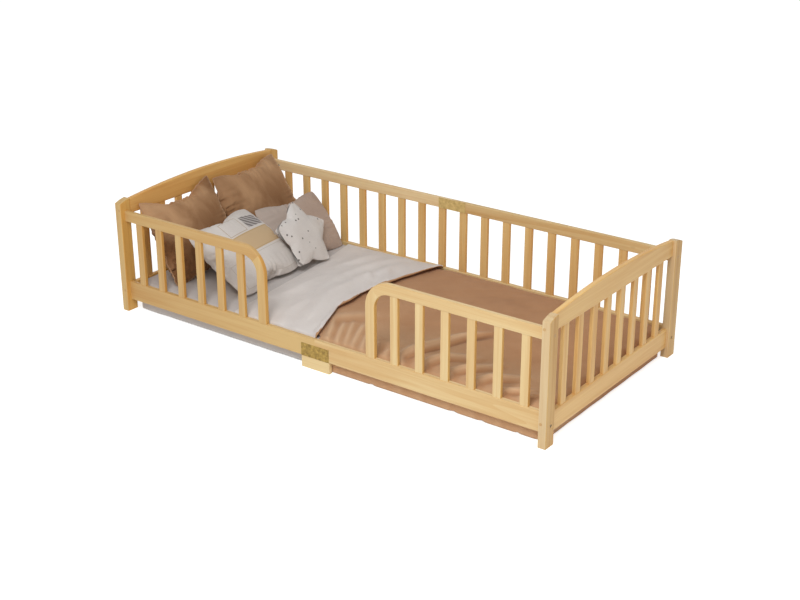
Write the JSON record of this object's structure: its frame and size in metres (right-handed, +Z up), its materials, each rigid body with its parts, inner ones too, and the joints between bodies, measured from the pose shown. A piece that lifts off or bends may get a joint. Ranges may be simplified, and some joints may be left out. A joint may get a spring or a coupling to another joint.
{
  "type": "toddler floor bed with slatted guards",
  "caption": "Low pine toddler bed with arched slatted ends, a slatted back and two short rounded front guards, with mattress, bedding and cushions",
  "frame": {"origin": "on the floor, under the middle of the bed", "axes": "+X along the bed from headboard to footboard, +Y from the open front to the slatted back, +Z up"},
  "size_m": [2.08, 0.98, 0.5109],
  "materials": {
    "pine": "clear satin lacquer over pale honey pine",
    "cap_wood": "flush round caps, a shade darker than the posts",
    "plug_wood": "flush round plugs, lacquered with the posts",
    "dowel_wood": "plain beech",
    "plate_brass": "aged, mottled",
    "steel": "zinc plated",
    "mattress_cover": "knitted cover",
    "sheet_cloth": "pale grey cotton",
    "duvet_cloth": "pale grey washed cotton",
    "bedspread_cloth": "brown washed cotton",
    "velvet": "short brown velvet",
    "patched_cloth": "off-white cotton with beige and grey patches",
    "taupe_cloth": "taupe linen",
    "star_cloth": "off-white cotton with small dark specks"
  },
  "bodies": {
    "root": {"back_lower_rail_foot": "pine", "back_lower_rail_head": "pine", "back_slats_foot": "pine", "back_slats_head": "pine", "back_top_rail_foot": "pine", "back_top_rail_head": "pine", "barrel_nuts": "steel", "bedspread": "bedspread_cloth", "bolt_caps": "cap_wood", "centre_feet": "pine", "cushion_patched": "patched_cloth", "cushion_star": "star_cloth", "cushion_taupe": "taupe_cloth", "cushion_velvet_back": "velvet", "cushion_velvet_front": "velvet", "duvet": "duvet_cloth", "end_rail_screws": "steel", "fitted_sheet": "sheet_cloth", "foot_post_back": "pine", "foot_post_front": "pine", "footboard_lower_rail": "pine", "footboard_slat_1": "pine", "footboard_slat_2": "pine", "footboard_slat_3": "pine", "footboard_slat_4": "pine", "footboard_slat_5": "pine", "footboard_slat_6": "pine", "footboard_slat_7": "pine", "footboard_slat_8": "pine", "footboard_top_rail": "pine", "frame_dowels": "dowel_wood", "front_lower_rail_foot": "pine", "front_lower_rail_head": "pine", "guard_end_stile_foot": "pine", "guard_end_stile_head": "pine", "guard_slat_foot_1": "pine", "guard_slat_foot_2": "pine", "guard_slat_foot_3": "pine", "guard_slat_foot_4": "pine", "guard_slat_foot_5": "pine", "guard_slat_foot_6": "pine", "guard_slat_head_1": "pine", "guard_slat_head_2": "pine", "guard_slat_head_3": "pine", "guard_slat_head_4": "pine", "guard_slat_head_5": "pine", "guard_slat_head_6": "pine", "guard_top_rail_foot": "pine", "guard_top_rail_head": "pine", "head_post_back": "pine", "head_post_front": "pine", "headboard_lower_rail": "pine", "headboard_slats": "pine", "headboard_top_rail": "pine", "joint_plate_back_top": "plate_brass", "joint_plate_screws": "steel", "joint_plates_lower": "plate_brass", "mattress": "mattress_cover", "rail_bolts": "steel", "screw_plugs": "plug_wood"}
  },
  "joints": []
}
